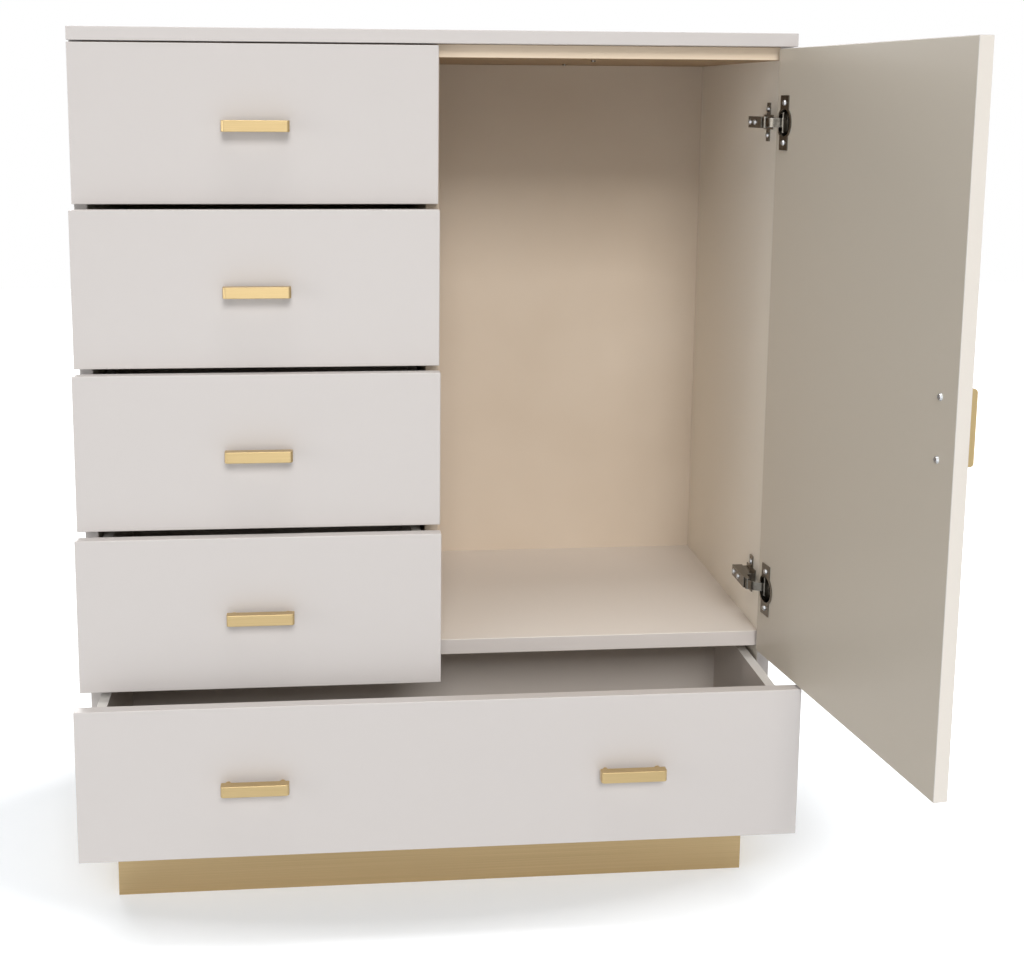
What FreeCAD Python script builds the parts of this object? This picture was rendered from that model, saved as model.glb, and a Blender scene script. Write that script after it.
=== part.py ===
import FreeCAD, Part
import math
import os

os.makedirs("parts", exist_ok=True)
V = FreeCAD.Vector

# Overall sizes in millimetres: X to the right, Y to the back, Z up from the floor
width = 870.0
depth = 400.0

# Boards
board = 16.0
top_thickness = 16.0
front_thickness = 16.0
floor_thickness = 20.0
back_thickness = 4.0
back_inset = 6.0
back_groove_depth = 7.3
back_groove_end_play = 0.3
groove_play = 0.1
edge_round = 1.0

# Front layout, from the floor up
plinth_height = 122.0
front_reveal = 2.0
wide_front_height = 188.0
wide_gap = 3.0
front_height = 188.0
front_gap = 5.0
split_gap = 4.0
front_stand_off = 2.0
floor_lift = 3.0

# How far each drawer stands open as stored, the top one first
pull_outs = [0.0, 25.0, 44.0, 65.0]
wide_pull_out = 115.0

# Plinth, set back from the closed fronts and in from the sides
plinth_recess = 30.0
plinth_side_inset = 25.0

# Drawer boxes
box_length = 270.0
box_board = 12.0
box_bottom_thickness = 4.0
box_side_play = 5.0
box_lift = 30.0
box_drop = 20.0
wide_box_drop = 10.0
box_bottom_rise = 12.0
box_groove_depth = 6.0
box_groove_end_play = 0.2

# Under-mount slides: a cabinet rail, a middle rail and a drawer rail, nested
rail_length = 270.0
middle_rail_length = 260.0
drawer_rail_length = 262.0
rail_set_back = 2.0
rail_sheet = 1.2
bracket_sheet = 1.5
bracket_height = 28.0
rail_under_gap = 4.0
rail_half_width = 13.0
rail_gap = 1.3
rail_box_gap = 1.0
rail_track_height = 8.5
middle_rail_height = 8.0
drawer_rail_leg = 8.0
rail_screw_margin = 45.0
rail_screw_height = 18.0

# Handles: a bar that stands off the front on two round posts
handle_length = 80.0
handle_height = 13.5
handle_projection = 21.5
handle_bar_depth = 12.0
handle_corner = 4.0
handle_edge = 0.8
handle_post_radius = 4.0
handle_hole_spacing = 64.0
handle_hole_depth = 14.0
handle_drop = 1.5
door_handle_edge_distance = 31.0
wide_handle_offset = 226.0

# Concealed hinges: cup in the door, link, arm and mounting plate on the side panel
hinge_end_distance = 89.0
cup_radius = 17.5
cup_wall = 1.2
cup_depth = 12.2
cup_edge_distance = 5.0
cup_play = 0.1
cup_screw_spacing = 48.0
flange_length = 66.0
flange_width = 22.0
flange_rim = 1.6
flange_sheet = 1.2
flange_edge_distance = 7.5
cup_pivot_edge = 10.5
cup_pivot_depth = 3.9
arm_pivot_edge = 33.6
arm_pivot_depth = 2.2
hinge_pin_radius = 1.5
pin_press_play = 0.02
pin_running_play = 0.05
link_eye_radius = 2.7
link_sheet = 2.4
link_bow = 5.0
link_half_height = 5.4
arm_gap = 0.4
arm_sheet = 1.2
arm_nose_radius = 2.8
arm_nose_length = 14.0
arm_length = 57.0
arm_web_offset = 3.0
arm_wall_height = 13.0
plate_sheet = 1.6
plate_set_back = 37.0
plate_wing_length = 48.0
plate_wing_width = 12.0
plate_foot_length = 36.0
plate_foot_width = 18.0
plate_screw_spacing = 32.0
plate_block_gap = 0.2
plate_block_front = 19.0
plate_block_length = 33.0
arm_screw_spacing = 20.0

# Door angle as stored, and the link's share of the turn
door_open_angle = 97.5
link_share = -0.35

# Fasteners
wood_screw_radius = 2.0
wood_screw_length = 12.0
wood_screw_head_radius = 3.6
wood_screw_head_height = 1.8
handle_screw_radius = 2.0
handle_screw_head_radius = 4.0
handle_screw_head_height = 2.2
top_screw_length = 26.0
top_screw_in_x = 200.0
top_screw_in_y = 110.0
screw_play = 0.05
screw_end_play = 1.0
cross_recess_width = 0.9
cross_recess_share = 1.3
dowel_radius = 4.0
dowel_length = 30.0
dowel_in_board = 11.0
dowel_play = 0.05
dowel_end_play = 0.5
dowel_in_from_edge = 70.0
plinth_dowel_in_x = 300.0
nail_radius = 0.9
nail_length = 16.0
nail_head_radius = 2.4
nail_head_height = 0.8
nail_count = 4

# Planes that the pieces share
half_width = width / 2
front_y = -depth / 2
back_y = depth / 2
fronts_back_y = front_y + front_thickness
carcass_y = fronts_back_y + front_stand_off
back_panel_y = back_y - back_inset - back_thickness
side_x = half_width - board
partition_right = 0.0
partition_left = partition_right - board
wide_z = plinth_height + front_reveal
lowest_front_z = wide_z + wide_front_height + wide_gap
front_pitch = front_height + front_gap
fronts_top_z = lowest_front_z + len(pull_outs) * front_pitch - front_gap
top_z = fronts_top_z + front_reveal
carcass_top_z = top_z - board
bottom_z = plinth_height + board
floor_under_z = lowest_front_z + floor_lift
floor_z = floor_under_z + floor_thickness


def box(x0, x1, y0, y1, z0, z1):
    return Part.makeBox(x1 - x0, y1 - y0, z1 - z0, V(x0, y0, z0))


def rounded(solid, thickness):
    """Soften every edge of a lacquered board."""
    return solid.makeFillet(min(edge_round, 0.4 * thickness), solid.Edges)


def rod(radius, length, base, axis):
    return Part.makeCylinder(radius, length, V(*base), V(*axis))


def save(name, solids):
    shape = solids[0] if len(solids) == 1 else Part.makeCompound(solids)
    shape.exportStep("parts/%s.step" % name)


def screw(under_head, axis, radius, length, head_radius, head_height):
    """Pan-head screw with a cross recess; axis points along the shank, away from the head."""
    solid = Part.makeCone(0.75 * head_radius, head_radius, head_height)
    solid = solid.fuse(Part.makeCylinder(radius, length, V(0, 0, head_height)))
    arm = cross_recess_share * head_radius
    recess = 0.6 * head_height
    for length_x, length_y in ((arm, cross_recess_width), (cross_recess_width, arm)):
        slot = Part.makeBox(length_x, length_y, recess, V(-length_x / 2, -length_y / 2, 0))
        solid = solid.cut(slot)
    head_top = V(*under_head) - V(*axis) * head_height
    solid.Placement = FreeCAD.Placement(head_top, FreeCAD.Rotation(V(0, 0, 1), V(*axis)))
    return solid


def wood_screw(under_head, axis, length=wood_screw_length):
    return screw(under_head, axis, wood_screw_radius, length, wood_screw_head_radius, wood_screw_head_height)


def wood_screw_hole(under_head, axis, length=wood_screw_length):
    return rod(wood_screw_radius + screw_play, length + screw_end_play, under_head, axis)


# Dowels sit half in the face of one board and half in the end of another
def dowel(face_point, axis):
    """Dowel through face_point; axis points out of the face, into the other board's end."""
    base = V(*face_point) - V(*axis) * dowel_in_board
    return Part.makeCylinder(dowel_radius, dowel_length, base, V(*axis))


def dowel_hole(face_point, axis):
    base = V(*face_point) - V(*axis) * (dowel_in_board + dowel_end_play)
    return Part.makeCylinder(dowel_radius + dowel_play, dowel_length + 2 * dowel_end_play, base, V(*axis))


dowel_ys = (carcass_y + dowel_in_from_edge, back_panel_y - dowel_in_from_edge)
cross_board_zs = (plinth_height + board / 2, floor_under_z + floor_thickness / 2, carcass_top_z + board / 2)
partition_middle = (partition_left + partition_right) / 2
dowel_places = []
for y in dowel_ys:
    for z in cross_board_zs:
        dowel_places.append(((-side_x, y, z), (1, 0, 0)))
        dowel_places.append(((side_x, y, z), (-1, 0, 0)))
    dowel_places.append(((partition_middle, y, floor_z), (0, 0, 1)))
    dowel_places.append(((partition_middle, y, carcass_top_z), (0, 0, -1)))
plinth_front_y = front_y + plinth_recess
plinth_back_y = back_y - plinth_recess
for x in (-plinth_dowel_in_x, plinth_dowel_in_x):
    for y in (plinth_front_y + board / 2, plinth_back_y - board / 2):
        dowel_places.append(((x, y, plinth_height), (0, 0, -1)))
dowel_holes = [dowel_hole(*place) for place in dowel_places]
save("carcass_dowels", [dowel(*place) for place in dowel_places])

# Plinth: a front and a back board with three short boards between them
plinth_x = half_width - plinth_side_inset
plinth_front = box(-plinth_x, plinth_x, plinth_front_y, plinth_front_y + board, 0, plinth_height)
save("plinth_front_board", [plinth_front.cut(dowel_holes)])
plinth_back = box(-plinth_x, plinth_x, plinth_back_y - board, plinth_back_y, 0, plinth_height)
save("plinth_back_board", [plinth_back.cut(dowel_holes)])
cross_boards = []
for x in (-plinth_x + board / 2, 0, plinth_x - board / 2):
    cross_boards.append(box(x - board / 2, x + board / 2, plinth_front_y + board, plinth_back_y - board,
                            0, plinth_height))
save("plinth_cross_boards", cross_boards)

# Hinge heights, and the places of both pivots with the door closed
door_edge_x = half_width
hinge_zs = (lowest_front_z + hinge_end_distance, fronts_top_z - hinge_end_distance)
cup_x = door_edge_x - cup_edge_distance - cup_radius
cup_pivot = V(door_edge_x - cup_pivot_edge, fronts_back_y - cup_pivot_depth, 0)
arm_pivot = V(door_edge_x - arm_pivot_edge, fronts_back_y - arm_pivot_depth, 0)
plate_y = carcass_y + plate_set_back
plate_screw_places = []
for z in hinge_zs:
    for side in (-1, 1):
        spot = (side_x - plate_sheet, plate_y, z + side * plate_screw_spacing / 2)
        plate_screw_places.append((spot, (1, 0, 0)))
plate_screw_holes = [wood_screw_hole(*place) for place in plate_screw_places]

# Slide screws go through each cabinet rail's bracket into the board beside it
left_bay = (-side_x, partition_left)
wide_bay = (-side_x, side_x)
rail_y = carcass_y + rail_set_back
drawers = []
for number, pull_out in enumerate(pull_outs, start=1):
    drawers.append({
        "name": "drawer_%d" % number,
        "bay": left_bay,
        "front_x": (-half_width, -split_gap / 2),
        "z": lowest_front_z + (len(pull_outs) - number) * front_pitch,
        "height": front_height,
        "drop": box_drop,
        "pull_out": pull_out,
        "handle_x": [-half_width / 2 - split_gap / 4],
    })
drawers.append({
    "name": "wide_drawer",
    "bay": wide_bay,
    "front_x": (-half_width, half_width),
    "z": wide_z,
    "height": wide_front_height,
    "drop": wide_box_drop,
    "pull_out": wide_pull_out,
    "handle_x": [-wide_handle_offset, wide_handle_offset],
})


def rail_base_z(drawer):
    return drawer["z"] + box_lift - rail_under_gap


rail_screw_places = []
for drawer in drawers:
    for wall_x, inward in ((drawer["bay"][0], 1), (drawer["bay"][1], -1)):
        for y in (rail_y + rail_screw_margin, rail_y + rail_length - rail_screw_margin):
            spot = (wall_x + inward * bracket_sheet, y, rail_base_z(drawer) + rail_screw_height)
            rail_screw_places.append((spot, (-inward, 0, 0)))
rail_screw_holes = [wood_screw_hole(*place) for place in rail_screw_places]

# Screws that hold the top panel down, driven up through the carcass top board
top_screw_places = []
for x in (-top_screw_in_x, top_screw_in_x):
    for y in (-top_screw_in_y, top_screw_in_y):
        top_screw_places.append(((x, y, carcass_top_z), (0, 0, 1), top_screw_length))
top_screw_holes = [wood_screw_hole(*place) for place in top_screw_places]
cabinet_screws = [wood_screw(*place) for place in rail_screw_places + top_screw_places]
save("cabinet_screws", cabinet_screws)

# Nails through the back panel into the rear edges of the boards it covers
nail_places = []
for step in range(nail_count):
    x = -side_x + 2 * side_x * (step + 0.5) / nail_count
    for z in (plinth_height + board / 2, floor_under_z + floor_thickness / 2, carcass_top_z + board / 2):
        nail_places.append((x, back_panel_y + back_thickness, z))
nails = []
nail_holes = []
for place in nail_places:
    shank = rod(nail_radius, nail_length, place, (0, -1, 0))
    head = rod(nail_head_radius, nail_head_height, place, (0, 1, 0))
    nails.append(shank.fuse(head))
    nail_holes.append(rod(nail_radius + screw_play, nail_length + screw_end_play, place, (0, -1, 0)))
save("back_panel_nails", nails)


# Carcass boards, with their long front edges softened like the lacquered ones
def soft_front(solid):
    edges = [edge for edge in solid.Edges if abs(edge.CenterOfMass.y - carcass_y) < 1e-6]
    longest = max(edge.Length for edge in edges)
    return solid.makeFillet(edge_round, [edge for edge in edges if edge.Length > 0.9 * longest])


top_panel = box(-half_width, half_width, front_y, back_y, top_z, top_z + top_thickness)
save("top_panel", [rounded(top_panel, top_thickness).cut(top_screw_holes)])

board_drillings = dowel_holes + rail_screw_holes + plate_screw_holes
groove_y0 = back_panel_y - groove_play
groove_y1 = back_panel_y + back_thickness + groove_play
for name, side in (("left_side_panel", -1), ("right_side_panel", 1)):
    inner, outer = sorted((side * side_x, side * half_width))
    panel = soft_front(box(inner, outer, carcass_y, back_y, plinth_height, top_z))
    groove_x0, groove_x1 = sorted((side * side_x, side * (side_x + back_groove_depth)))
    groove = box(groove_x0, groove_x1, groove_y0, groove_y1, plinth_height, top_z)
    save(name, [panel.cut([groove] + board_drillings)])

carcass_top = soft_front(box(-side_x, side_x, carcass_y, back_panel_y, carcass_top_z, top_z))
save("carcass_top_board", [carcass_top.cut(dowel_holes + top_screw_holes + nail_holes)])
bottom = soft_front(box(-side_x, side_x, carcass_y, back_panel_y, plinth_height, bottom_z))
save("bottom_board", [bottom.cut(dowel_holes + nail_holes)])
floor_board = soft_front(box(-side_x, side_x, carcass_y, back_panel_y, floor_under_z, floor_z))
save("compartment_floor", [floor_board.cut(dowel_holes + nail_holes)])
partition = soft_front(box(partition_left, partition_right, carcass_y, back_panel_y, floor_z, carcass_top_z))
save("centre_partition", [partition.cut(dowel_holes + rail_screw_holes)])
back_half = side_x + back_groove_depth - back_groove_end_play
back_panel = box(-back_half, back_half, back_panel_y, back_panel_y + back_thickness, plinth_height, top_z)
save("back_panel", [back_panel.cut(nail_holes)])


# Handles: bars with rounded outer corners, screwed on through their posts from behind the front
def bar_handle(x, y, z, upright):
    """Handle centred at x, z whose posts stand on the plane y; upright handles run along Z."""
    half = handle_length / 2
    out = handle_projection
    back = handle_bar_depth - handle_projection
    bend = handle_corner * (1 - math.sqrt(0.5))
    flat = half - handle_corner
    points = [V(-half, back, 0), V(-half, -out + handle_corner, 0), V(-flat, -out, 0),
              V(flat, -out, 0), V(half, -out + handle_corner, 0), V(half, back, 0)]
    edges = [
        Part.LineSegment(points[0], points[1]).toShape(),
        Part.Arc(points[1], V(-half + bend, -out + bend, 0), points[2]).toShape(),
        Part.LineSegment(points[2], points[3]).toShape(),
        Part.Arc(points[3], V(half - bend, -out + bend, 0), points[4]).toShape(),
        Part.LineSegment(points[4], points[5]).toShape(),
        Part.LineSegment(points[5], points[0]).toShape(),
    ]
    bar = Part.Face(Part.Wire(edges)).extrude(V(0, 0, handle_height))
    bar.translate(V(0, 0, -handle_height / 2))
    rims = [edge for edge in bar.Edges
            if edge.CenterOfMass.y < back - 1e-6 and abs(abs(edge.CenterOfMass.z) - handle_height / 2) < 1e-6]
    bar = bar.makeFillet(handle_edge, rims)
    for side in (-1, 1):
        foot = (side * handle_hole_spacing / 2, 0, 0)
        bar = bar.fuse(rod(handle_post_radius, -back, foot, (0, -1, 0)))
        bar = bar.cut(rod(handle_screw_radius + screw_play, handle_hole_depth, foot, (0, -1, 0)))
    if upright:
        bar.rotate(V(0, 0, 0), V(0, 1, 0), 90)
    bar.translate(V(x, y, z))
    return bar


def handle_screw_spots(x, z, upright):
    half = handle_hole_spacing / 2
    if upright:
        return [(x, z - half), (x, z + half)]
    return [(x - half, z), (x + half, z)]


def handle_screws(spots, back_of_front_y):
    length = front_thickness + handle_hole_depth - screw_end_play
    return [screw((x, back_of_front_y, z), (0, -1, 0), handle_screw_radius, length,
                  handle_screw_head_radius, handle_screw_head_height) for x, z in spots]


def handle_screw_holes(spots, back_of_front_y):
    radius = handle_screw_radius + screw_play
    return [rod(radius, front_thickness, (x, back_of_front_y, z), (0, -1, 0)) for x, z in spots]


# Slide rails: prisms with a cross-section in X and Z, mirrored for the right-hand side
def rail(section, wall_x, inward, y, length):
    """One rail from a list of rectangles (x from the wall, z), joined and run along Y."""
    parts = []
    for x0, x1, z0, z1 in section:
        low, high = sorted((wall_x + inward * x0, wall_x + inward * x1))
        parts.append(box(low, high, y, y + length, z0, z1))
    solid = parts[0].multiFuse(parts[1:])
    return solid.removeSplitter()


rail_centre = box_side_play + box_board + rail_box_gap + rail_half_width
cabinet_rails = []


def build_drawer(drawer):
    x0, x1 = drawer["bay"]
    z0 = drawer["z"]
    top = z0 + drawer["height"]
    y0 = front_y - drawer["pull_out"]
    back_of_front = y0 + front_thickness
    box_end = back_of_front + box_length
    under = z0 + box_lift
    bottom_under = under + box_bottom_rise
    bottom_top = bottom_under + box_bottom_thickness
    wall_top = top - drawer["drop"]
    name = drawer["name"]

    # Front with the groove for the box bottom and the handle's screw holes
    handle_z = z0 + drawer["height"] / 2 - handle_drop
    spots = []
    for x in drawer["handle_x"]:
        spots += handle_screw_spots(x, handle_z, False)
    inner_low = x0 + box_side_play + box_board
    inner_high = x1 - box_side_play - box_board
    bottom_low = inner_low - box_groove_depth + box_groove_end_play
    bottom_high = inner_high + box_groove_depth - box_groove_end_play
    groove = box(inner_low - box_groove_depth, inner_high + box_groove_depth,
                 back_of_front - box_groove_depth, box_end,
                 bottom_under - groove_play, bottom_top + groove_play)
    front = rounded(box(*drawer["front_x"], y0, back_of_front, z0, top), front_thickness)
    save(name + "_front", [front.cut([groove] + handle_screw_holes(spots, back_of_front))])
    save(name + "_handle", [bar_handle(x, y0, handle_z, False) for x in drawer["handle_x"]])
    save(name + "_screws", handle_screws(spots, back_of_front))

    # Box: two sides and a back, with the bottom panel slid into their grooves
    outer_low = x0 + box_side_play
    outer_high = x1 - box_side_play
    walls = [
        box(outer_low, inner_low, back_of_front, box_end, under, wall_top).cut(groove),
        box(inner_high, outer_high, back_of_front, box_end, under, wall_top).cut(groove),
        box(inner_low, inner_high, box_end - box_board, box_end, bottom_top + groove_play, wall_top),
    ]
    save(name + "_box_walls", walls)
    bottom_panel = box(bottom_low, bottom_high, back_of_front - box_groove_depth + box_groove_end_play, box_end,
                       bottom_under, bottom_top)
    save(name + "_bottom", [bottom_panel])

    # Slides: the middle rail has run out half as far as the drawer
    base = rail_base_z(drawer)
    floor = base + bracket_sheet
    centre = rail_centre
    half = rail_half_width
    middle_half = half - rail_sheet - rail_gap
    inner_half = middle_half - rail_sheet - rail_gap
    middle_z = floor + rail_gap
    cabinet_section = [
        (0, bracket_sheet, base, base + bracket_height),
        (0, centre + half, base, floor),
        (centre - half, centre - half + rail_sheet, floor, floor + rail_track_height),
        (centre + half - rail_sheet, centre + half, floor, floor + rail_track_height),
    ]
    middle_section = [
        (centre - middle_half, centre + middle_half, middle_z, middle_z + rail_sheet),
        (centre - middle_half, centre - middle_half + rail_sheet, middle_z, middle_z + middle_rail_height),
        (centre + middle_half - rail_sheet, centre + middle_half, middle_z, middle_z + middle_rail_height),
    ]
    plate_z = bottom_under - rail_sheet
    drawer_section = [
        (centre - half, centre + half, plate_z, bottom_under),
        (centre - inner_half, centre - inner_half + rail_sheet, plate_z - drawer_rail_leg, plate_z),
        (centre + inner_half - rail_sheet, centre + inner_half, plate_z - drawer_rail_leg, plate_z),
    ]
    middle_rails = []
    drawer_rails = []
    for wall_x, inward in ((x0, 1), (x1, -1)):
        fixed = rail(cabinet_section, wall_x, inward, rail_y, rail_length)
        cabinet_rails.append(fixed.cut(rail_screw_holes))
        middle_y = rail_y + rail_set_back - drawer["pull_out"] / 2
        middle_rails.append(rail(middle_section, wall_x, inward, middle_y, middle_rail_length))
        drawer_y = rail_y - drawer["pull_out"]
        drawer_rails.append(rail(drawer_section, wall_x, inward, drawer_y, drawer_rail_length))
    save(name + "_middle_rails", middle_rails)
    save(name + "_rails", drawer_rails)


for drawer in drawers:
    build_drawer(drawer)
save("cabinet_rails", cabinet_rails)


# Door, drawn closed and then swung open on its links
def turned(vector, degrees):
    return FreeCAD.Rotation(V(0, 0, 1), degrees).multVec(vector)


link_angle = link_share * door_open_angle
cup_pivot_open = arm_pivot + turned(cup_pivot - arm_pivot, link_angle)


def swing_link(solid):
    solid.rotate(arm_pivot, V(0, 0, 1), link_angle)
    return solid


def swing_door(solid):
    solid.rotate(cup_pivot, V(0, 0, 1), door_open_angle)
    solid.translate(cup_pivot_open - cup_pivot)
    return solid


def upright_rod(radius, point, z0, z1):
    return rod(radius, z1 - z0, (point.x, point.y, z0), (0, 0, 1))


# Steel cups let into the door's inner face, with a flange held by two screws
cups = []
cup_sockets = []
cup_pin_holes = []
cup_screw_places = []
for z in hinge_zs:
    mouth = (cup_x, fronts_back_y, z)
    cup = rod(cup_radius, cup_depth, mouth, (0, -1, 0))
    cup_sockets.append(rod(cup_radius + cup_play, cup_depth + cup_play, mouth, (0, -1, 0)))
    disc = rod(cup_radius + flange_rim, flange_sheet, mouth, (0, 1, 0))
    plate = box(cup_x - flange_width / 2, cup_x + flange_width / 2,
                fronts_back_y, fronts_back_y + flange_sheet,
                z - flange_length / 2, z + flange_length / 2)
    trim = box(cup_x - 2 * cup_radius, door_edge_x - flange_edge_distance, fronts_back_y,
               fronts_back_y + flange_sheet, z - flange_length, z + flange_length)
    cup = cup.fuse(disc.fuse(plate).common(trim))
    hollow = rod(cup_radius - cup_wall, cup_depth - cup_wall + flange_sheet,
                 (cup_x, fronts_back_y + flange_sheet, z), (0, -1, 0))
    pin_hole = upright_rod(hinge_pin_radius + pin_running_play, cup_pivot, z - cup_radius, z + cup_radius)
    cup_pin_holes.append(pin_hole)
    screw_holes = []
    for side in (-1, 1):
        spot = (cup_x, fronts_back_y + flange_sheet, z + side * cup_screw_spacing / 2)
        cup_screw_places.append((spot, (0, -1, 0)))
        screw_holes.append(wood_screw_hole(spot, (0, -1, 0)))
    cups.append(swing_door(cup.cut([hollow, pin_hole] + screw_holes).removeSplitter()))
save("hinge_cups", cups)

door_handle_x = split_gap / 2 + door_handle_edge_distance
door_handle_z = (lowest_front_z + fronts_top_z) / 2
door_spots = handle_screw_spots(door_handle_x, door_handle_z, True)
door_drillings = cup_sockets + handle_screw_holes(door_spots, fronts_back_y)
door_drillings += [wood_screw_hole(*place) for place in cup_screw_places]
door_drillings += cup_pin_holes
door = rounded(box(split_gap / 2, door_edge_x, front_y, fronts_back_y, lowest_front_z, fronts_top_z),
               front_thickness)
save("door_panel", [swing_door(door.cut(door_drillings))])
save("door_handle", [swing_door(bar_handle(door_handle_x, front_y, door_handle_z, True))])
door_screws = handle_screws(door_spots, fronts_back_y) + [wood_screw(*place) for place in cup_screw_places]
save("door_screws", [swing_door(solid) for solid in door_screws])


# Links: a bowed strip with an eye at each end, turning on two pins
def bowed_strip(start, end, bow, thickness, z0, z1):
    along = end - start
    across = V(-along.y, along.x, 0)
    across.normalize()
    middle = (start + end) / 2 + across * bow
    edges = []
    for side in (-1, 1):
        offset = across * (side * thickness / 2)
        edges.append(Part.Arc(start + offset, middle + offset, end + offset).toShape())
    ends = [Part.makeLine(edges[0].Vertexes[i].Point, edges[1].Vertexes[i].Point) for i in (0, 1)]
    wire = Part.Wire(Part.__sortEdges__(edges + ends))
    strip = Part.Face(wire).extrude(V(0, 0, z1 - z0))
    strip.translate(V(0, 0, z0))
    return strip


links = []
pins = []
for z in hinge_zs:
    low = z - link_half_height
    high = z + link_half_height
    link = bowed_strip(cup_pivot, arm_pivot, link_bow, link_sheet, low, high)
    for pivot in (cup_pivot, arm_pivot):
        link = link.fuse(upright_rod(link_eye_radius, pivot, low, high))
    for pivot in (cup_pivot, arm_pivot):
        link = link.cut(upright_rod(hinge_pin_radius + pin_press_play, pivot, low, high))
    links.append(swing_link(link.removeSplitter()))
    cup_pin_half = math.sqrt(cup_radius ** 2 - (cup_pivot.x - cup_x) ** 2) - cup_wall / 2
    arm_pin_half = link_half_height + arm_gap + arm_sheet
    for pivot, half in ((cup_pivot, cup_pin_half), (arm_pivot, arm_pin_half)):
        pins.append(swing_link(upright_rod(hinge_pin_radius, pivot, z - half, z + half)))
save("hinge_links", links)
save("hinge_pins", pins)

# Arms: channels that clip over the mounting plates and carry the links between two ears
arms = []
plates = []
hinge_screws = [wood_screw(*place) for place in plate_screw_places]
wall_z0 = link_half_height + arm_gap
wall_z1 = wall_z0 + arm_sheet
web_x1 = arm_pivot.x - arm_web_offset
web_x0 = web_x1 - arm_sheet
arm_front_y = arm_pivot.y + arm_nose_length
arm_back_y = arm_pivot.y + arm_length
web_front_y = fronts_back_y + front_stand_off
block_y0 = carcass_y + plate_block_front
block_y1 = block_y0 + plate_block_length
for z in hinge_zs:
    pieces = [box(web_x0, web_x1, web_front_y, arm_back_y, z - wall_z1, z + wall_z1)]
    for z0, z1 in ((z - wall_z1, z - wall_z0), (z + wall_z0, z + wall_z1)):
        pieces.append(box(web_x0, web_x0 + arm_wall_height, arm_front_y, arm_back_y, z0, z1))
        pieces.append(box(arm_pivot.x - arm_nose_radius, arm_pivot.x + arm_nose_radius,
                          arm_pivot.y, arm_front_y, z0, z1))
        pieces.append(box(web_x0, arm_pivot.x, web_front_y, arm_front_y, z0, z1))
        pieces.append(upright_rod(arm_nose_radius, arm_pivot, z0, z1))
    arm = pieces[0].multiFuse(pieces[1:]).removeSplitter()
    pin_hole = upright_rod(hinge_pin_radius + pin_running_play, arm_pivot, z - wall_z1, z + wall_z1)
    arm_screw_holes = []
    for side in (-1, 1):
        spot = (web_x0, (block_y0 + block_y1) / 2 + side * arm_screw_spacing / 2, z)
        hinge_screws.append(wood_screw(spot, (1, 0, 0)))
        arm_screw_holes.append(wood_screw_hole(spot, (1, 0, 0)))
    arms.append(arm.cut([pin_hole] + arm_screw_holes))

    # Cross-shaped mounting plate with a raised block for the arm
    foot_x0 = side_x - plate_sheet
    plate = box(foot_x0, side_x, plate_y - plate_foot_length / 2, plate_y + plate_foot_length / 2,
                z - plate_foot_width / 2, z + plate_foot_width / 2)
    wing = box(foot_x0, side_x, plate_y - plate_wing_width / 2, plate_y + plate_wing_width / 2,
               z - plate_wing_length / 2, z + plate_wing_length / 2)
    block_half = wall_z0 - plate_block_gap
    block = box(web_x1, foot_x0, block_y0, block_y1, z - block_half, z + block_half)
    plate = plate.multiFuse([wing, block]).removeSplitter()
    plates.append(plate.cut(arm_screw_holes + plate_screw_holes))
save("hinge_arms", arms)
save("hinge_plates", plates)
save("hinge_screws", hinge_screws)
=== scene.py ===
import math

import bpy
from mathutils import Matrix, Vector

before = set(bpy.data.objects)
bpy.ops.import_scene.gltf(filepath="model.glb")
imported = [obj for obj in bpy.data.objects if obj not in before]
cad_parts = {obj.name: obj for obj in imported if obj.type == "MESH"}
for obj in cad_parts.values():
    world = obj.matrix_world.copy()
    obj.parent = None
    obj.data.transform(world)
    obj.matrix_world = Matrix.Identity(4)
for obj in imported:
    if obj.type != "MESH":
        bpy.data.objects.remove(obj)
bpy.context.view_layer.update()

# Plinth: a recessed frame of chipboard strips wrapped in a brushed gold foil and dowelled under the carcass.
# The brushing runs along each strip, and the foil is paler on the corners, partly from wear and partly as a
# painted highlight.
foil_dark = (0.51, 0.37, 0.185, 1)
foil_light = (0.70, 0.525, 0.30, 1)
foil_worn_and_lit = (0.78, 0.64, 0.42, 1)
foil_sheen = {"Roughness": 0.38, "Spread": 0.16}
foil_along_stretch = (3.0, 900.0, 900.0)
foil_across_stretch = (900.0, 3.0, 900.0)
foil_wear_and_highlight_radius = 0.0015


def dress(material, *nodes):
    """Give CAD nodes a finish through their own material slots."""
    for node in nodes:
        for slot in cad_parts[node].material_slots:
            slot.material = material


def finish_material(name):
    """A material with only an output and a Principled shader, ready for its own nodes."""
    material = bpy.data.materials.new(name)
    material.use_nodes = True
    tree = material.node_tree
    tree.nodes.clear()
    output = tree.nodes.new("ShaderNodeOutputMaterial")
    shader = tree.nodes.new("ShaderNodeBsdfPrincipled")
    tree.links.new(shader.outputs["BSDF"], output.inputs["Surface"])
    return material, tree, shader


def feed(tree, socket, value):
    """Link a socket to another node's output, or set it where the value is a plain one."""
    if isinstance(value, bpy.types.NodeSocket):
        tree.links.new(value, socket)
    else:
        socket.default_value = value


def effect_group(name, inputs, outputs):
    """An empty node group whose inputs are (name, type, default) and whose outputs are (name, type)."""
    group = bpy.data.node_groups.new(name, "ShaderNodeTree")
    for socket, kind, value in inputs:
        item = group.interface.new_socket(socket, in_out="INPUT", socket_type=kind)
        item.default_value = value
    for socket, kind in outputs:
        group.interface.new_socket(socket, in_out="OUTPUT", socket_type=kind)
    return group, group.nodes.new("NodeGroupInput"), group.nodes.new("NodeGroupOutput")


def place_group(tree, group, values):
    """A group set down in a tree; each value, plain or linked, goes to the input of its name."""
    node = tree.nodes.new("ShaderNodeGroup")
    node.node_tree = group
    for socket, value in values.items():
        feed(tree, node.inputs[socket], value)
    return node


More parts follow.
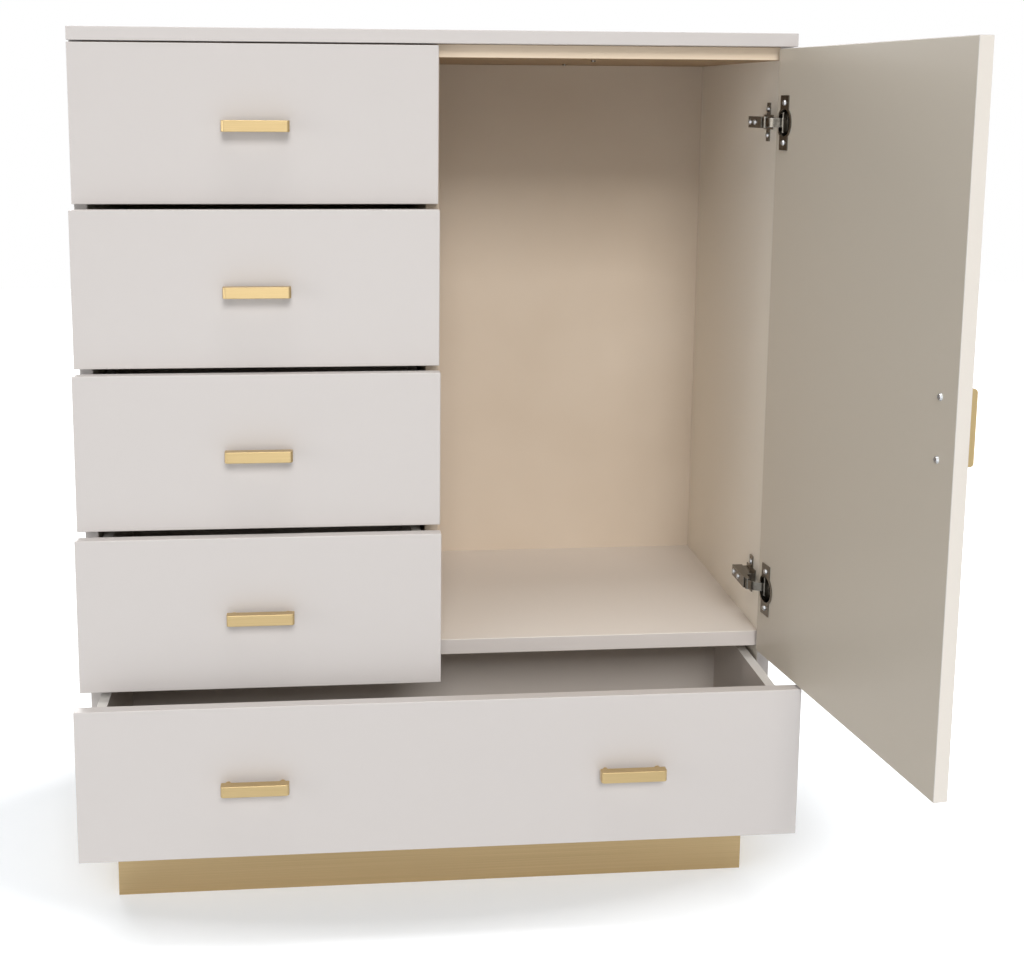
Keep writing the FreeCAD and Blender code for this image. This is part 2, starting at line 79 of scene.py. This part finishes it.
def math_node(tree, operation, first, second):
    node = tree.nodes.new("ShaderNodeMath")
    node.operation = operation
    feed(tree, node.inputs[0], first)
    feed(tree, node.inputs[1], second)
    return node.outputs["Value"]


def vector_node(tree, operation, *vectors):
    node = tree.nodes.new("ShaderNodeVectorMath")
    node.operation = operation
    for socket, vector in zip(node.inputs, vectors):
        feed(tree, socket, vector)
    return node


def mix_colour(tree, factor, first, second):
    """A colour that goes from the first to the second as the factor rises."""
    node = tree.nodes.new("ShaderNodeMix")
    node.data_type = "RGBA"
    sockets = {socket.identifier: socket for socket in node.inputs}
    feed(tree, sockets["Factor_Float"], factor)
    feed(tree, sockets["A_Color"], first)
    feed(tree, sockets["B_Color"], second)
    return {socket.identifier: socket for socket in node.outputs}["Result_Color"]


def noise(tree, vector, scale, detail):
    node = tree.nodes.new("ShaderNodeTexNoise")
    feed(tree, node.inputs["Vector"], vector)
    feed(tree, node.inputs["Scale"], scale)
    feed(tree, node.inputs["Detail"], detail)
    return node.outputs["Fac"]


def add_bump(tree, shader, height, strength, distance):
    bump = tree.nodes.new("ShaderNodeBump")
    feed(tree, bump.inputs["Strength"], strength)
    feed(tree, bump.inputs["Distance"], distance)
    feed(tree, bump.inputs["Height"], height)
    tree.links.new(bump.outputs["Normal"], shader.inputs["Normal"])


def varied(tree, middle, spread, field):
    """A value that swings about its middle as a noise field does about one half."""
    swing = math_node(tree, "MULTIPLY", math_node(tree, "SUBTRACT", field, 0.5), spread)
    return math_node(tree, "ADD", middle, swing)


# Corner wear and highlight: where a bevelled normal leaves the true one, the corners take another colour in
# patches, partly wear and partly a painted highlight along the edges
wear_and_highlight_samples = 4
wear_and_highlight_gain = 4.0
wear_and_highlight_detail = 2.0
wear_and_highlight_group, wear_and_highlight_in, wear_and_highlight_out = effect_group(
    "corner_wear_and_highlight",
    [("Radius", "NodeSocketFloat", 0.002), ("Patches", "NodeSocketFloat", 60.0)],
    [("Mask", "NodeSocketFloat")])
wear_and_highlight_bevel = wear_and_highlight_group.nodes.new("ShaderNodeBevel")
wear_and_highlight_bevel.samples = wear_and_highlight_samples
wear_and_highlight_group.links.new(wear_and_highlight_in.outputs["Radius"], wear_and_highlight_bevel.inputs["Radius"])
wear_and_highlight_true_normal = wear_and_highlight_group.nodes.new("ShaderNodeNewGeometry").outputs["True Normal"]
wear_and_highlight_match = vector_node(wear_and_highlight_group, "DOT_PRODUCT", wear_and_highlight_bevel.outputs["Normal"], wear_and_highlight_true_normal)
wear_and_highlight_turn = math_node(wear_and_highlight_group, "SUBTRACT", 1.0, wear_and_highlight_match.outputs["Value"])
wear_and_highlight_edge = math_node(wear_and_highlight_group, "MINIMUM", math_node(wear_and_highlight_group, "MULTIPLY", wear_and_highlight_turn, wear_and_highlight_gain), 1.0)
wear_and_highlight_where = wear_and_highlight_group.nodes.new("ShaderNodeTexCoord").outputs["Object"]
wear_and_highlight_patch = noise(wear_and_highlight_group, wear_and_highlight_where, wear_and_highlight_in.outputs["Patches"], wear_and_highlight_detail)
wear_and_highlight_group.links.new(math_node(wear_and_highlight_group, "MULTIPLY", wear_and_highlight_edge, wear_and_highlight_patch), wear_and_highlight_out.inputs["Mask"])

# Brushing: noise drawn out along one direction gives streaks in the sheen and the tone
brush_detail = 3.0
brush_group, brush_in, brush_out = effect_group(
    "brushing",
    [("Stretch", "NodeSocketVector", (4.0, 700.0, 700.0)), ("Roughness", "NodeSocketFloat", 0.3),
     ("Spread", "NodeSocketFloat", 0.12)],
    [("Streak", "NodeSocketFloat"), ("Roughness", "NodeSocketFloat")])
brush_where = brush_group.nodes.new("ShaderNodeTexCoord").outputs["Object"]
brush_drawn = vector_node(brush_group, "MULTIPLY", brush_where, brush_in.outputs["Stretch"])
brush_streak = noise(brush_group, brush_drawn.outputs["Vector"], 1.0, brush_detail)
brush_rough = varied(brush_group, brush_in.outputs["Roughness"], brush_in.outputs["Spread"], brush_streak)
brush_group.links.new(brush_streak, brush_out.inputs["Streak"])
brush_group.links.new(brush_rough, brush_out.inputs["Roughness"])

brush_strength = 0.25
brush_relief = 0.00005


def brushed_metal(name, dark, light, worn_and_lit_colour, stretch, sheen, wear_and_highlight_radius):
    """Brushed metal or metallic foil: streaks between two tones, and paler corners, partly wear and partly a
    painted highlight.
    """
    material, tree, shader = finish_material(name)
    brush = place_group(tree, brush_group, {"Stretch": stretch, **sheen})
    wear_and_highlight = place_group(tree, wear_and_highlight_group, {"Radius": wear_and_highlight_radius})
    tone = mix_colour(tree, brush.outputs["Streak"], dark, light)
    worn_and_lit_tone = mix_colour(tree, wear_and_highlight.outputs["Mask"], tone, worn_and_lit_colour)
    tree.links.new(worn_and_lit_tone, shader.inputs["Base Color"])
    tree.links.new(brush.outputs["Roughness"], shader.inputs["Roughness"])
    shader.inputs["Metallic"].default_value = 1.0
    add_bump(tree, shader, brush.outputs["Streak"], brush_strength, brush_relief)
    return material


foil_along = brushed_metal("gold_foil_along", foil_dark, foil_light, foil_worn_and_lit,
                           foil_along_stretch, foil_sheen, foil_wear_and_highlight_radius)
foil_across = brushed_metal("gold_foil_across", foil_dark, foil_light, foil_worn_and_lit,
                            foil_across_stretch, foil_sheen, foil_wear_and_highlight_radius)
dress(foil_along, "plinth_front_board", "plinth_back_board")
dress(foil_across, "plinth_cross_boards")

# Bottom board and centre partition: chipboard faced on both sides with a matt beige melamine paper.
# The paper is pressed on hot, which leaves fine pores, and its tone drifts a little over each board.
inner_colour = (0.57, 0.465, 0.36, 1)
inner_drift = (0.52, 0.415, 0.31, 1)
inner_worn_and_lit = (0.67, 0.57, 0.46, 1)
melamine_skin = {"Drift scale": 2.5, "Drift amount": 0.6, "Pore scale": 1400.0,
                 "Roughness": 0.5, "Spread": 0.12}
melamine_relief = 0.00006
melamine_wear_and_highlight_radius = 0.0015

# Board film: a coloured layer with a drifting tone, and pores that vary its sheen and height
drift_detail = 3.0
pore_detail = 2.0
film_group, film_in, film_out = effect_group(
    "board_film",
    [("Colour", "NodeSocketColor", (0.7, 0.65, 0.6, 1)),
     ("Drift colour", "NodeSocketColor", (0.6, 0.55, 0.5, 1)),
     ("Drift scale", "NodeSocketFloat", 3.0), ("Drift amount", "NodeSocketFloat", 0.5),
     ("Pore scale", "NodeSocketFloat", 900.0), ("Roughness", "NodeSocketFloat", 0.5),
     ("Spread", "NodeSocketFloat", 0.1)],
    [("Colour", "NodeSocketColor"), ("Roughness", "NodeSocketFloat"), ("Height", "NodeSocketFloat")])
film_where = film_group.nodes.new("ShaderNodeTexCoord").outputs["Object"]
film_cloud = noise(film_group, film_where, film_in.outputs["Drift scale"], drift_detail)
film_share = math_node(film_group, "MULTIPLY", film_cloud, film_in.outputs["Drift amount"])
film_tone = mix_colour(film_group, film_share, film_in.outputs["Colour"], film_in.outputs["Drift colour"])
film_pore = noise(film_group, film_where, film_in.outputs["Pore scale"], pore_detail)
film_rough = varied(film_group, film_in.outputs["Roughness"], film_in.outputs["Spread"], film_pore)
film_group.links.new(film_tone, film_out.inputs["Colour"])
film_group.links.new(film_rough, film_out.inputs["Roughness"])
film_group.links.new(film_pore, film_out.inputs["Height"])

pore_strength = 0.3
face_match = 0.9


def faced_board(name, colour, drift_colour, worn_and_lit_colour, skin, relief, wear_and_highlight_radius, faces=()):
    """A board in a thin coloured film: drifting tone, pressed pores, and corners in another colour, partly
    wear and partly a painted highlight.

    Each of the faces is (direction it looks in, colour, drift colour), for a face with a film of its own.
    """
    material, tree, shader = finish_material(name)
    for direction, face_colour, face_drift in faces:
        looks_in = tree.nodes.new("ShaderNodeTexCoord").outputs["Normal"]
        match = vector_node(tree, "DOT_PRODUCT", looks_in, direction)
        on_face = math_node(tree, "GREATER_THAN", match.outputs["Value"], face_match)
        colour = mix_colour(tree, on_face, colour, face_colour)
        drift_colour = mix_colour(tree, on_face, drift_colour, face_drift)
    film = place_group(tree, film_group, {"Colour": colour, "Drift colour": drift_colour, **skin})
    wear_and_highlight = place_group(tree, wear_and_highlight_group, {"Radius": wear_and_highlight_radius})
    worn_and_lit_tone = mix_colour(tree, wear_and_highlight.outputs["Mask"], film.outputs["Colour"], worn_and_lit_colour)
    tree.links.new(worn_and_lit_tone, shader.inputs["Base Color"])
    tree.links.new(film.outputs["Roughness"], shader.inputs["Roughness"])
    add_bump(tree, shader, film.outputs["Height"], pore_strength, relief)
    return material


inner_film = faced_board("beige_melamine", inner_colour, inner_drift, inner_worn_and_lit,
                         melamine_skin, melamine_relief, melamine_wear_and_highlight_radius)
dress(inner_film, "centre_partition", "bottom_board")

# Carcass top board: a board dowelled between the side panels, coloured dark brown on all but its front as
# painted shade for the shadowed compartment ceiling. Its front edge, which shows over the open compartment,
# is a paler beige as painted light.
front_way = (0.0, -1.0, 0.0)
painted_shade_ceiling = (0.34, 0.22, 0.115, 1)
painted_shade_ceiling_drift = (0.30, 0.19, 0.095, 1)
painted_lit_front_edge = (0.79, 0.645, 0.49, 1)
painted_lit_front_edge_drift = (0.74, 0.60, 0.44, 1)
top_board_worn_and_lit = (0.86, 0.75, 0.61, 1)
shaded_ceiling_lit_edge = faced_board("ceiling_painted_shade_and_lit_edge", painted_shade_ceiling, painted_shade_ceiling_drift, top_board_worn_and_lit,
                           melamine_skin, melamine_relief, melamine_wear_and_highlight_radius,
                           [(front_way, painted_lit_front_edge, painted_lit_front_edge_drift)])
dress(shaded_ceiling_lit_edge, "carcass_top_board")

# Compartment floor: a thicker melamine board between the sides, over the wide drawer's bay.
# Its paper is paler and smoother than the walls', and its front edge is banded in warm grey.
shelf_colour = (0.76, 0.70, 0.64, 1)
shelf_drift = (0.72, 0.655, 0.59, 1)
shelf_worn_and_lit = (0.76, 0.71, 0.665, 1)
shelf_band = (0.66, 0.61, 0.575, 1)
shelf_band_drift = (0.635, 0.58, 0.545, 1)
shelf_skin = {**melamine_skin, "Roughness": 0.45}
shelf_film = faced_board("floor_melamine", shelf_colour, shelf_drift, shelf_worn_and_lit,
                         shelf_skin, melamine_relief, melamine_wear_and_highlight_radius,
                         [(front_way, shelf_band, shelf_band_drift)])
dress(shelf_film, "compartment_floor")

# Side panels: full-height boards, dowelled to the boards between them.
# They are sprayed with a warm grey satin lacquer that has a faint orange peel and a touch of drift in tone.
# The inner face is left in a pale beige paper.
lacquer_colour = (0.60, 0.563, 0.54, 1)
lacquer_drift = (0.575, 0.532, 0.508, 1)
lacquer_worn_and_lit = (0.72, 0.68, 0.635, 1)
lacquer_skin = {"Drift scale": 2.0, "Drift amount": 0.5, "Pore scale": 480.0,
                "Roughness": 0.36, "Spread": 0.08}
lacquer_relief = 0.00005
lacquer_wear_and_highlight_radius = 0.0015
wall_colour = (0.88, 0.83, 0.74, 1)
wall_drift = (0.85, 0.79, 0.69, 1)
for side, inward in (("left", (1.0, 0.0, 0.0)), ("right", (-1.0, 0.0, 0.0))):
    side_finish = faced_board(side + "_side_finish", lacquer_colour, lacquer_drift, lacquer_worn_and_lit,
                              lacquer_skin, lacquer_relief, lacquer_wear_and_highlight_radius, [(inward, wall_colour, wall_drift)])
    dress(side_finish, side + "_side_panel")

# Back panel: thin fibreboard covered with printed beige paper, slid into grooves in the side panels.
# The paper is duller than melamine, and its print is clouded with a browner tone.
paper_colour = (0.71, 0.61, 0.50, 1)
paper_drift = (0.52, 0.41, 0.30, 1)
paper_worn_and_lit = (0.66, 0.56, 0.45, 1)
paper_skin = {"Drift scale": 3.5, "Drift amount": 0.9, "Pore scale": 700.0,
              "Roughness": 0.6, "Spread": 0.1}
paper_relief = 0.00008
paper_wear_and_highlight_radius = 0.001
back_film = faced_board("back_panel_paper", paper_colour, paper_drift, paper_worn_and_lit,
                        paper_skin, paper_relief, paper_wear_and_highlight_radius)
dress(back_film, "back_panel")

# Top panel: a board in the same lacquer on every face, flush with the closed fronts.
# It is screwed on from below, through the carcass top board.
top_lacquer = faced_board("satin_lacquer", lacquer_colour, lacquer_drift, lacquer_worn_and_lit,
                          lacquer_skin, lacquer_relief, lacquer_wear_and_highlight_radius)
dress(top_lacquer, "top_panel")

# Dowels: plain beech pegs glued between the boards, where they can't be seen once it stands.
# The straight grain runs along each peg, with darker flecks.
beech_dark = (0.42, 0.26, 0.13, 1)
beech_light = (0.62, 0.43, 0.25, 1)
beech_grain = {"Stretch": (60.0, 800.0, 800.0), "Roughness": 0.62, "Spread": 0.15}
beech_strength = 0.3
beech_relief = 0.0001
beech, beech_tree, beech_shader = finish_material("bare_beech")
beech_brush = place_group(beech_tree, brush_group, beech_grain)
beech_tone = mix_colour(beech_tree, beech_brush.outputs["Streak"], beech_dark, beech_light)
beech_tree.links.new(beech_tone, beech_shader.inputs["Base Color"])
beech_tree.links.new(beech_brush.outputs["Roughness"], beech_shader.inputs["Roughness"])
add_bump(beech_tree, beech_shader, beech_brush.outputs["Streak"], beech_strength, beech_relief)
dress(beech, "carcass_dowels")

# Carcass screws: cross-recessed steel screws in a nickel plating, driven from inside; its tones are darkened
# as a painted dark reflection of dim surroundings.
# They hold the slides to the boards beside them, and the top panel to the carcass top board.
nickel_dark_painted_reflection = (0.09, 0.08, 0.066, 1)
nickel_light_painted_reflection = (0.24, 0.22, 0.19, 1)
nickel_worn_and_lit = (0.70, 0.68, 0.64, 1)
nickel_stretch = (300.0, 300.0, 300.0)
nickel_sheen = {"Roughness": 0.22, "Spread": 0.12}
nickel_wear_and_highlight_radius = 0.0008
nickel = brushed_metal("nickel_painted_dark_reflection", nickel_dark_painted_reflection, nickel_light_painted_reflection, nickel_worn_and_lit,
                       nickel_stretch, nickel_sheen, nickel_wear_and_highlight_radius)
dress(nickel, "cabinet_screws")

# Slides and back panel nails: steel with a bright zinc plating.
# The slides are rolled from strip, three rails to each, and carry the drawers from below.
drawers = ("drawer_1", "drawer_2", "drawer_3", "drawer_4", "wide_drawer")
zinc_dark = (0.50, 0.51, 0.53, 1)
zinc_light = (0.68, 0.69, 0.70, 1)
zinc_worn_and_lit = (0.78, 0.79, 0.80, 1)
zinc_stretch = (500.0, 6.0, 500.0)
zinc_sheen = {"Roughness": 0.34, "Spread": 0.2}
zinc_wear_and_highlight_radius = 0.0008
zinc = brushed_metal("zinc_plating", zinc_dark, zinc_light, zinc_worn_and_lit, zinc_stretch, zinc_sheen, zinc_wear_and_highlight_radius)
dress(zinc, "cabinet_rails", "back_panel_nails")
for drawer in drawers:
    dress(zinc, drawer + "_rails", drawer + "_middle_rails")

# Drawer boxes: two sides and a back of thin board in a matt grey-beige foil, butted together.
# The bottom panel sits in their grooves, and the walls' faces that look upward, their top edges, are paler.
upward = (0.0, 0.0, 1.0)
box_colour = (0.58, 0.53, 0.485, 1)
box_drift = (0.52, 0.47, 0.425, 1)
box_worn_and_lit = (0.84, 0.81, 0.77, 1)
box_rim = (0.69, 0.66, 0.62, 1)
box_rim_drift = (0.65, 0.62, 0.58, 1)
box_skin = {"Drift scale": 4.0, "Drift amount": 0.6, "Pore scale": 1200.0,
            "Roughness": 0.52, "Spread": 0.1}
box_relief = 0.00006
box_wear_and_highlight_radius = 0.0012
wall_foil = faced_board("box_wall_foil", box_colour, box_drift, box_worn_and_lit, box_skin, box_relief, box_wear_and_highlight_radius,
                        [(upward, box_rim, box_rim_drift)])
bottom_foil = faced_board("box_bottom_foil", box_colour, box_drift, box_worn_and_lit, box_skin, box_relief, box_wear_and_highlight_radius)
for drawer in drawers:
    dress(wall_foil, drawer + "_box_walls")
    dress(bottom_foil, drawer + "_bottom")

# Drawer fronts: boards with softened edges in the same warm grey lacquer, fixed to the boxes.
# They are sprayed flat, so the skin is a little smoother than on the carcass.
front_skin = {**lacquer_skin, "Drift scale": 1.6, "Roughness": 0.34}
front_lacquer = faced_board("front_lacquer", lacquer_colour, lacquer_drift, lacquer_worn_and_lit,
                            front_skin, lacquer_relief, lacquer_wear_and_highlight_radius)
for drawer in drawers:
    dress(front_lacquer, drawer + "_front")

# Handles: gold bars with rounded outer corners, each on two round posts, brushed along their length.
# Two screws hold each bar through the front from behind, nickel-plated in the drawers.
gold_dark = (0.50, 0.365, 0.175, 1)
gold_light = (0.66, 0.50, 0.265, 1)
gold_worn_and_lit = (0.90, 0.765, 0.47, 1)
gold_sheen = {"Roughness": 0.35, "Spread": 0.14}
gold_level_stretch = (14.0, 1500.0, 1500.0)
gold_upright_stretch = (1500.0, 1500.0, 14.0)
gold_wear_and_highlight_radius = 0.001
level_gold = brushed_metal("satin_gold_level", gold_dark, gold_light, gold_worn_and_lit,
                           gold_level_stretch, gold_sheen, gold_wear_and_highlight_radius)
upright_gold = brushed_metal("satin_gold_upright", gold_dark, gold_light, gold_worn_and_lit,
                             gold_upright_stretch, gold_sheen, gold_wear_and_highlight_radius)
for drawer in drawers:
    dress(level_gold, drawer + "_handle")
    dress(nickel, drawer + "_screws")
dress(upright_gold, "door_handle")

# Hinges: pressed steel cups, links, arms and cross-shaped plates in the same nickel plating, darkened as a
# painted dark reflection.
# Zinc-plated screws hold the plates to the side panel and the cups and the handle to the door.
dress(nickel, "hinge_plates", "hinge_arms", "hinge_links", "hinge_pins", "hinge_cups")
dress(zinc, "hinge_screws", "door_screws")

# Door: one panel hung on the two hinges, lacquered outside and faced with a beige-grey film inside.
# Its free edge is paler than the lacquer. The inner film and the paler edge are placed by the way each face
# looks as stored.
door_rest = math.radians(97.5)
door_inward = (-math.sin(door_rest), math.cos(door_rest), 0.0)
door_free = (-math.cos(door_rest), -math.sin(door_rest), 0.0)
door_inner = (0.595, 0.54, 0.455, 1)
door_inner_drift = (0.555, 0.495, 0.412, 1)
door_free_edge_colour = (0.78, 0.725, 0.655, 1)
door_free_edge_drift = (0.76, 0.70, 0.63, 1)
door_skin = {**lacquer_skin, "Drift scale": 1.8, "Drift amount": 0.6, "Roughness": 0.34}
door_finish = faced_board("door_finish", lacquer_colour, lacquer_drift, lacquer_worn_and_lit,
                          door_skin, lacquer_relief, lacquer_wear_and_highlight_radius,
                          [(door_inward, door_inner, door_inner_drift),
                           (door_free, door_free_edge_colour, door_free_edge_drift)])
dress(door_finish, "door_panel")

# Studio floor: a wide sheet of pale paper on which the plinth stands. It glows white to the camera away from
# the plinth; in an oval around the plinth the glow is dimmer, a painted shadow added to the real soft shadow
# there.
floor_half = 6.0
sheet_colour = (0.79, 0.82, 0.85, 1)
sheet_gloss_share = 0.3
white = (1, 1, 1, 1)
oval_scale = (1.06, 2.4, 0.0)
oval_shift = (0.05, 0.0, 0.0)
oval_inner = 0.62
oval_outer = 0.96
painted_shadow_glow = 0.22
glow_outside = 0.82
floor_mesh = bpy.data.meshes.new("studio_floor")
floor_corners = [(-floor_half, -floor_half, 0), (floor_half, -floor_half, 0), (floor_half, floor_half, 0),
                 (-floor_half, floor_half, 0)]
floor_mesh.from_pydata(floor_corners, [], [(0, 1, 2, 3)])
floor = bpy.data.objects.new("studio_floor", floor_mesh)
bpy.context.scene.collection.objects.link(floor)
sheet = bpy.data.materials.new("studio_paper")
sheet.use_nodes = True
sheet_tree = sheet.node_tree
sheet_tree.nodes.clear()
sheet_out = sheet_tree.nodes.new("ShaderNodeOutputMaterial")
sheet_diffuse = sheet_tree.nodes.new("ShaderNodeBsdfDiffuse")
sheet_diffuse.inputs["Color"].default_value = sheet_colour
sheet_glow = sheet_tree.nodes.new("ShaderNodeEmission")
sheet_glow.inputs["Color"].default_value = white
sheet_path = sheet_tree.nodes.new("ShaderNodeLightPath")
sheet_shine = math_node(sheet_tree, "MULTIPLY", sheet_path.outputs["Is Glossy Ray"], sheet_gloss_share)
sheet_seen = math_node(sheet_tree, "MAXIMUM", sheet_path.outputs["Is Camera Ray"], sheet_shine)
sheet_where = sheet_tree.nodes.new("ShaderNodeTexCoord").outputs["Object"]
sheet_oval = vector_node(sheet_tree, "MULTIPLY_ADD", sheet_where, oval_scale, oval_shift)
sheet_reach = vector_node(sheet_tree, "LENGTH", sheet_oval.outputs["Vector"])
# The dimmer glow inside the oval is a painted shadow around the plinth
painted_shadow_fade = sheet_tree.nodes.new("ShaderNodeMapRange")
painted_shadow_fade.inputs["From Min"].default_value = oval_inner
painted_shadow_fade.inputs["From Max"].default_value = oval_outer
painted_shadow_fade.inputs["To Min"].default_value = painted_shadow_glow
painted_shadow_fade.inputs["To Max"].default_value = glow_outside
sheet_tree.links.new(sheet_reach.outputs["Value"], painted_shadow_fade.inputs["Value"])
sheet_strength = math_node(sheet_tree, "MULTIPLY", sheet_seen, painted_shadow_fade.outputs["Result"])
sheet_tree.links.new(sheet_strength, sheet_glow.inputs["Strength"])
sheet_add = sheet_tree.nodes.new("ShaderNodeAddShader")
sheet_tree.links.new(sheet_diffuse.outputs["BSDF"], sheet_add.inputs[0])
sheet_tree.links.new(sheet_glow.outputs["Emission"], sheet_add.inputs[1])
sheet_tree.links.new(sheet_add.outputs["Shader"], sheet_out.inputs["Surface"])
floor_mesh.materials.append(sheet)

# Studio surround: white walls all round, seen at full strength by the camera and in metal.
# They give the object only a weak, even light.
surround_level = 0.21
world = bpy.data.worlds.new("studio_surround")
bpy.context.scene.world = world
world.use_nodes = True
world_tree = world.node_tree
world_tree.nodes.clear()
world_out = world_tree.nodes.new("ShaderNodeOutputWorld")
world_sky = world_tree.nodes.new("ShaderNodeBackground")
world_sky.inputs["Color"].default_value = white
world_path = world_tree.nodes.new("ShaderNodeLightPath").outputs
world_seen = math_node(world_tree, "MAXIMUM", world_path["Is Camera Ray"], world_path["Is Glossy Ray"])
world_seen = math_node(world_tree, "MAXIMUM", world_seen, world_path["Is Transmission Ray"])
world_extra = math_node(world_tree, "MULTIPLY", world_seen, 1.0 - surround_level)
world_strength = math_node(world_tree, "ADD", world_extra, surround_level)
world_tree.links.new(world_strength, world_sky.inputs["Strength"])
world_tree.links.new(world_sky.outputs["Background"], world_out.inputs["Surface"])


# Studio lamps: a far soft box high in front gives the main light, and weaker ones fill the front, the low
# front, the top, both sides and the back. The main one is kept out of reflections.
def soft_box(name, place, aim, size, power):
    lamp = bpy.data.lights.new(name, "AREA")
    lamp.shape = "RECTANGLE"
    lamp.size, lamp.size_y = size
    lamp.energy = power
    holder = bpy.data.objects.new(name, lamp)
    bpy.context.scene.collection.objects.link(holder)
    holder.location = place
    holder.rotation_euler = (Vector(aim) - Vector(place)).to_track_quat("-Z", "Y").to_euler()
    return holder


main_box = soft_box("high_soft_box", place=(0.6, -17.8, 11.8), aim=(0.1, -0.2, 0.4), size=(7.6, 6.4),
                    power=2300.0)
main_box.visible_glossy = False
soft_box("front_soft_box", place=(0.25, -3.3, 2.1), aim=(0.1, -0.2, 0.5), size=(1.4, 1.2), power=9.0)
soft_box("left_soft_box", place=(-3.6, -1.8, 0.9), aim=(0.2, -0.2, 0.5), size=(2.0, 1.5), power=25.0)
soft_box("right_soft_box", place=(4.0, 0.6, 0.9), aim=(0.2, 0.0, 0.5), size=(2.5, 2.0), power=45.0)
soft_box("low_soft_box", place=(0.2, -3.4, 0.45), aim=(0.2, -0.2, 0.3), size=(2.2, 0.6), power=7.0)
soft_box("overhead_soft_box", place=(0.0, -0.75, 4.0), aim=(0.0, -0.75, 0.0), size=(2.0, 0.8), power=40.0)
soft_box("back_soft_box", place=(-1.5, 4.5, 2.6), aim=(0.0, 0.0, 0.6), size=(2.5, 2.0), power=90.0)

# Camera: a little left of the middle, at the height of the top drawer, looking slightly down.
# Its frame is shifted downwards, which keeps the uprights nearly parallel.
yaw, pitch, roll = (math.radians(angle) for angle in (5.503, -9.124, 0.357))
camera_place = (-0.145745, -1.973572, 1.020464)
camera_data = bpy.data.cameras.new("camera")
camera_data.sensor_width = 36.0
camera_data.lens = 51.899
camera_data.shift_x = 0.05078
camera_data.shift_y = -0.14648
camera = bpy.data.objects.new("camera", camera_data)
bpy.context.scene.collection.objects.link(camera)
forward = Vector((math.sin(yaw) * math.cos(pitch), math.cos(yaw) * math.cos(pitch), math.sin(pitch)))
level_right = Vector((math.cos(yaw), -math.sin(yaw), 0.0))
level_up = level_right.cross(forward)
right = level_right * math.cos(roll) + level_up * math.sin(roll)
up = level_up * math.cos(roll) - level_right * math.sin(roll)
turn = Matrix((right, up, -forward)).transposed().to_4x4()
camera.matrix_world = Matrix.Translation(camera_place) @ turn
bpy.context.scene.camera = camera
bpy.context.scene.view_settings.view_transform = "Standard"
